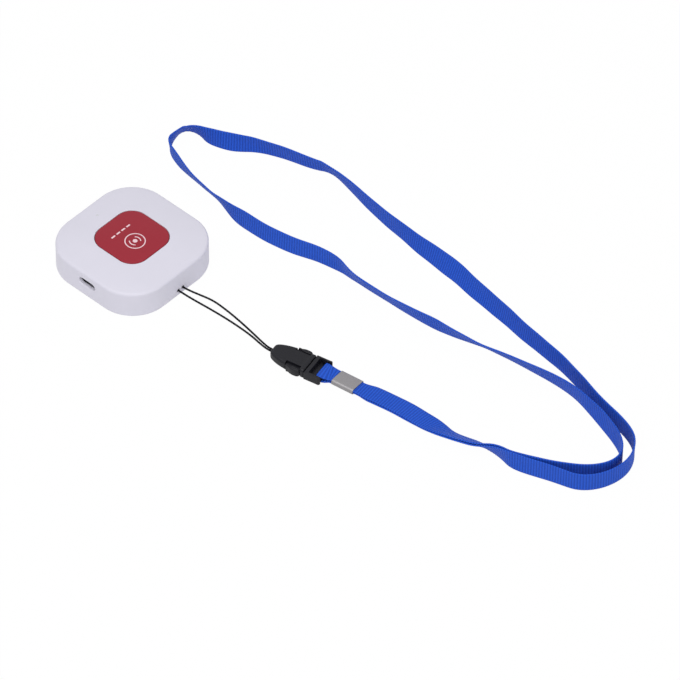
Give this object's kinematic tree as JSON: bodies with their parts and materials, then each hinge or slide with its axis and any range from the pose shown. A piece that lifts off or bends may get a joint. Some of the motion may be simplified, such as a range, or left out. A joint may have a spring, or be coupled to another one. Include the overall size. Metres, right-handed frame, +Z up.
{
  "type": "wearable call button with neck lanyard",
  "caption": "Rounded-square white call button with a red press button, side port, string, side-release buckle and blue neck ribbon.",
  "frame": {"origin": "middle of the underside of the case", "axes": "+Z up out of the button's face, +Y towards the strap holes and the lanyard, +X towards the charging port"},
  "size_m": [0.1324, 0.2956, 0.0167],
  "materials": {
    "white_case": "fine satin moulded plastic",
    "red_button": "satin moulded plastic",
    "steel": "plain plated steel",
    "board_green": "solder mask",
    "black_plastic": "matte",
    "ceramic": "matte",
    "clear_pipe": "clear moulded",
    "cell_foil": "foil pouch",
    "foam": "closed-cell foam",
    "lead_red": "insulated wire",
    "buckle_black": "fine matte moulded plastic",
    "string_black": "braided polyester string",
    "crimp_grey": "satin nickel",
    "ribbon_blue": "ribbed woven polyester"
  },
  "bodies": {
    "root": {"front_shell": "white_case", "rear_cover": "white_case", "cover_screws": "steel", "circuit_board": "board_green", "tact_switch": "black_plastic", "radio_shield": "steel", "control_chip": "black_plastic", "timing_crystal": "steel", "chip_antenna": "ceramic", "status_led": "ceramic", "cell_socket": "ceramic", "light_pipe": "clear_pipe", "battery_cell": "cell_foil", "cell_pad": "foam", "port_shell": "steel", "port_tongue": "black_plastic", "cell_leads": "lead_red", "buckle_socket": "buckle_black", "buckle_plug": "buckle_black", "string_stop": "steel", "strap_string": "string_black", "ribbon_crimp": "crimp_grey", "neck_ribbon": "ribbon_blue"},
    "button": {"call_button": "red_button"},
    "plunger": {"switch_plunger": "black_plastic"},
    "latch_right": {"latch_arm_right": "buckle_black"},
    "latch_left": {"latch_arm_left": "buckle_black"}
  },
  "joints": [
    {"name": "button_press", "type": "slide", "parent": "root", "child": "button", "axis": [0, 0, -1], "range_m": [0, 0.0006], "stiffness_N_per_m": 900, "springref_m": -0.0006},
    {"name": "plunger_press", "type": "slide", "parent": "root", "child": "plunger", "axis": [0, 0, -1], "range_m": [0, 0.0006]},
    {"name": "latch_right_squeeze", "type": "hinge", "parent": "root", "child": "latch_right", "pos_m": [-0.00071, 0.10577, 0.0026], "axis": [0, 0, -1], "range_deg": [0, 8], "stiffness_Nm_per_rad": 0.05, "springref_deg": -2.86},
    {"name": "latch_left_squeeze", "type": "hinge", "parent": "root", "child": "latch_left", "pos_m": [-0.00853, 0.10411, 0.0026], "axis": [0, 0, 1], "range_deg": [0, 8], "stiffness_Nm_per_rad": 0.05, "springref_deg": -2.86}
  ],
  "couplings": [
    {"joint": "plunger_press", "follows": "button_press", "ratio": 1}
  ]
}
